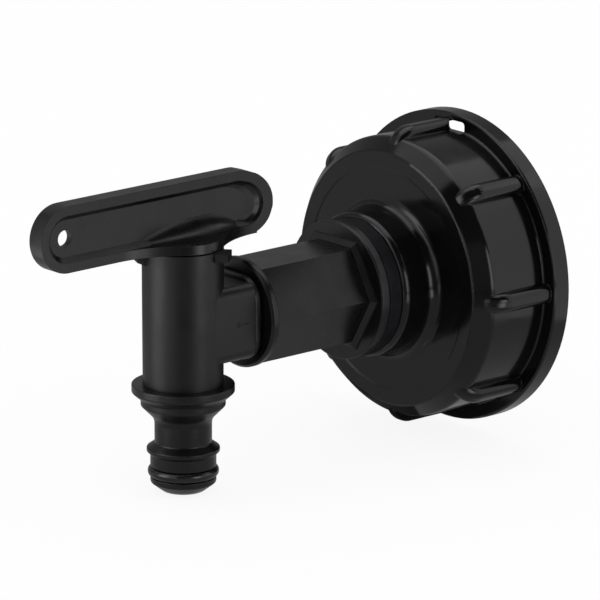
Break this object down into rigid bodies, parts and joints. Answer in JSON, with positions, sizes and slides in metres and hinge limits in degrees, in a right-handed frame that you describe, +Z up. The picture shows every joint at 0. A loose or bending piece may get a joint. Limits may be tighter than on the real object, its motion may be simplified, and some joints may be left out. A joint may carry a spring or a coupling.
{
  "type": "ibc tap adapter",
  "caption": "Black plastic screw cap for a tank outlet, with a hexagon coupling and a swivelling quarter-turn lever tap that ends in a quick-connect hose nozzle.",
  "frame": {"origin": "centre of the cap's mouth, in the plane where the cap meets the tank valve", "axes": "+X along the cap's axis out of its mouth, +Z up along the tap's barrel towards the lever, outlet nozzle towards -Z"},
  "size_m": [0.1326, 0.0764, 0.0785],
  "materials": {
    "black_plastic": "moulded black, semi-gloss",
    "black_rubber": "matte black rubber",
    "white_plastic": "natural acetal, satin",
    "spring_steel": "bright spring steel"
  },
  "bodies": {
    "cap": {"ibc_cap": "black_plastic", "cap_seal": "black_rubber", "coupling_gasket": "black_rubber", "hex_coupling": "black_plastic"},
    "tap": {"tap_body": "black_plastic", "spigot_o_ring_1": "black_rubber", "spigot_o_ring_2": "black_rubber", "spigot_clip": "spring_steel", "port_seal": "black_rubber", "outlet_nozzle": "black_plastic", "nozzle_seal": "black_rubber", "nozzle_o_ring": "black_rubber"},
    "valve": {"lever_handle": "black_plastic", "valve_plug": "white_plastic", "plug_o_ring_upper": "black_rubber", "plug_o_ring_lower": "black_rubber", "stem_o_ring": "black_rubber", "stem_clip": "spring_steel"}
  },
  "joints": [
    {"name": "swivel", "type": "hinge", "parent": "cap", "child": "tap", "pos_m": [-0.0886, 0, 0], "axis": [1, 0, 0], "continuous": true},
    {"name": "lever_turn", "type": "hinge", "parent": "tap", "child": "valve", "pos_m": [-0.0886, 0, 0], "axis": [0, 0, 1], "range_deg": [0, 90]}
  ]
}
